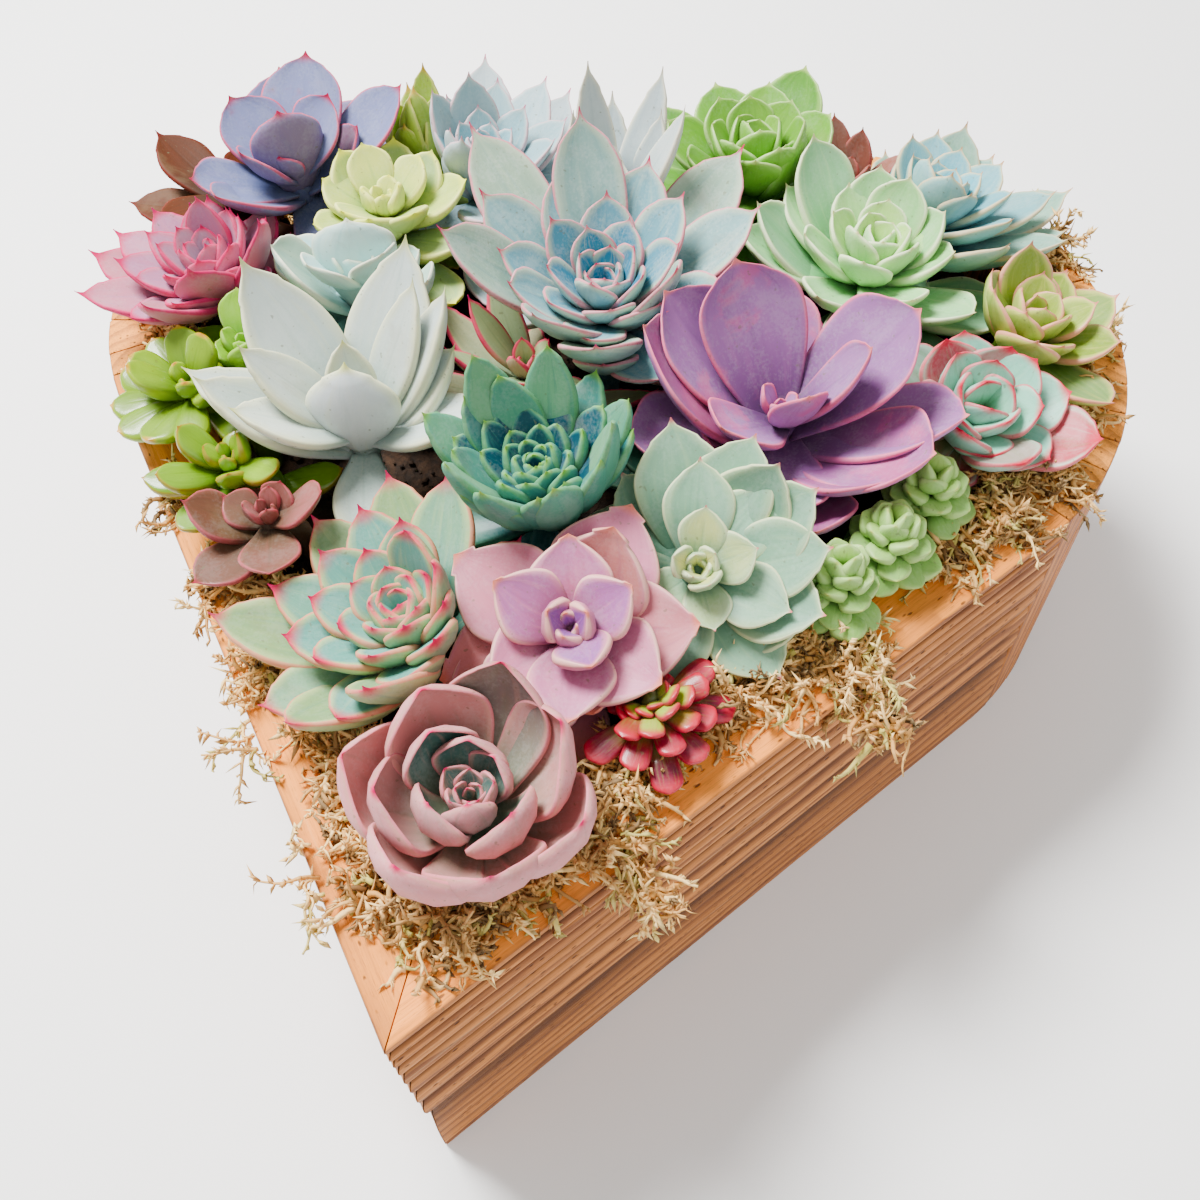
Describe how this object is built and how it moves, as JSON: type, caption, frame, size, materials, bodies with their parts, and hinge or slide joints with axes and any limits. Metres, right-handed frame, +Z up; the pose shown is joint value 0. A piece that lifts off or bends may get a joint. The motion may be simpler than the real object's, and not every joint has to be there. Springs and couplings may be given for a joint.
{
  "type": "succulent heart arrangement",
  "caption": "Heart-shaped wooden box filled with soil, planted with succulent rosettes and sedums, with moss tucked along its rim.",
  "frame": {"origin": "underside of the box, on the heart's line of symmetry, midway between the tip and the tops of the lobes", "axes": "+Z up out of the box, +Y from the heart's tip to its notch, +X to the right seen from above with the tip nearest"},
  "size_m": [0.2632, 0.2661, 0.1453],
  "materials": {
    "wood_board": "oiled softwood, fluted face, open grain",
    "wood_stave": "oiled softwood, sanded across narrow staves",
    "wood_base": "plain sawn softwood",
    "soil": "dark moist potting mix, crumbly",
    "moss": "dry straw-coloured strands",
    "blue_green_leaf": "waxy blue-green, pink margins",
    "mint_leaf": "waxy light mint, paler edges",
    "green_leaf": "bright fresh green, satin",
    "grey_blue_leaf": "chalky grey-blue, tan tips",
    "olive_leaf": "olive green, pink edges",
    "mint_red_leaf": "mint with red tips",
    "purple_leaf": "satin plum purple, pink margins",
    "pale_mint_leaf": "pale sage mint, cream edges",
    "salmon_leaf": "chalky salmon pink to mauve",
    "teal_pink_leaf": "chalky aqua, cream halo, hot pink tips",
    "deep_teal_leaf": "deep teal to aqua green",
    "pink_cup_leaf": "dusty pink outside, grey-teal inside",
    "white_leaf": "chalk white, faint green",
    "pale_cup_leaf": "bluish mint, cream edge",
    "yellow_green_leaf": "pale yellow-green",
    "pink_leaf": "pink-lavender, hot pink edges",
    "lavender_leaf": "lavender, thin red margins",
    "powder_blue_leaf": "powdery blue-grey, pink points",
    "copper_leaf": "copper brown, satin",
    "silver_leaf": "powdery silver grey",
    "brick_red_leaf": "brick red, satin",
    "pink_edged_leaf": "grey-green, pink edges",
    "dark_green_leaf": "dark green, satin",
    "red_olive_leaf": "dark red to olive",
    "lime_leaf": "lime green, satin",
    "jelly_green_leaf": "glossy lime green",
    "red_bean_leaf": "glossy red, green base",
    "bead_green_leaf": "soft light green beads"
  },
  "bodies": {
    "root": {"board_left": "wood_board", "board_right": "wood_board", "stave_left_1": "wood_stave", "stave_left_2": "wood_stave", "stave_left_3": "wood_stave", "stave_left_4": "wood_stave", "stave_left_5": "wood_stave", "stave_left_6": "wood_stave", "stave_left_7": "wood_stave", "stave_left_8": "wood_stave", "stave_right_1": "wood_stave", "stave_right_2": "wood_stave", "stave_right_3": "wood_stave", "stave_right_4": "wood_stave", "stave_right_5": "wood_stave", "stave_right_6": "wood_stave", "stave_right_7": "wood_stave", "stave_right_8": "wood_stave", "base_panel": "wood_base", "soil": "soil", "moss_tip_right": "moss", "moss_side_right": "moss", "moss_bend_right": "moss", "moss_lobe_right": "moss", "moss_tip_left": "moss", "moss_side_left": "moss", "moss_bend_left": "moss", "moss_lobe_left": "moss", "rosette_centre_blue": "blue_green_leaf", "rosette_mint": "mint_leaf", "rosette_bright_green": "green_leaf", "rosette_back_right": "grey_blue_leaf", "rosette_olive": "olive_leaf", "rosette_mint_red_tips": "mint_red_leaf", "rosette_purple": "purple_leaf", "rosette_pale_mint": "pale_mint_leaf", "rosette_salmon": "salmon_leaf", "rosette_teal_pink_tips": "teal_pink_leaf", "rosette_dense_teal": "deep_teal_leaf", "rosette_pink_cup": "pink_cup_leaf", "rosette_white": "white_leaf", "rosette_mint_cup": "pale_cup_leaf", "rosette_yellow": "yellow_green_leaf", "rosette_pink": "pink_leaf", "rosette_lavender": "lavender_leaf", "rosette_back_blue": "powder_blue_leaf", "rosette_copper": "copper_leaf", "rosette_grey_upright": "silver_leaf", "rosette_back_green": "yellow_green_leaf", "rosette_back_red": "brick_red_leaf", "rosette_pink_edged": "pink_edged_leaf", "rosette_dark_green": "dark_green_leaf", "rosette_brownish": "red_olive_leaf", "sedum_green_cluster": "lime_leaf", "sedum_jelly_green": "jelly_green_leaf", "rosette_small_green": "green_leaf", "sedum_red_beans": "red_bean_leaf", "burrito_head_back": "bead_green_leaf", "burrito_head_middle": "bead_green_leaf", "burrito_head_front": "bead_green_leaf"}
  },
  "joints": []
}
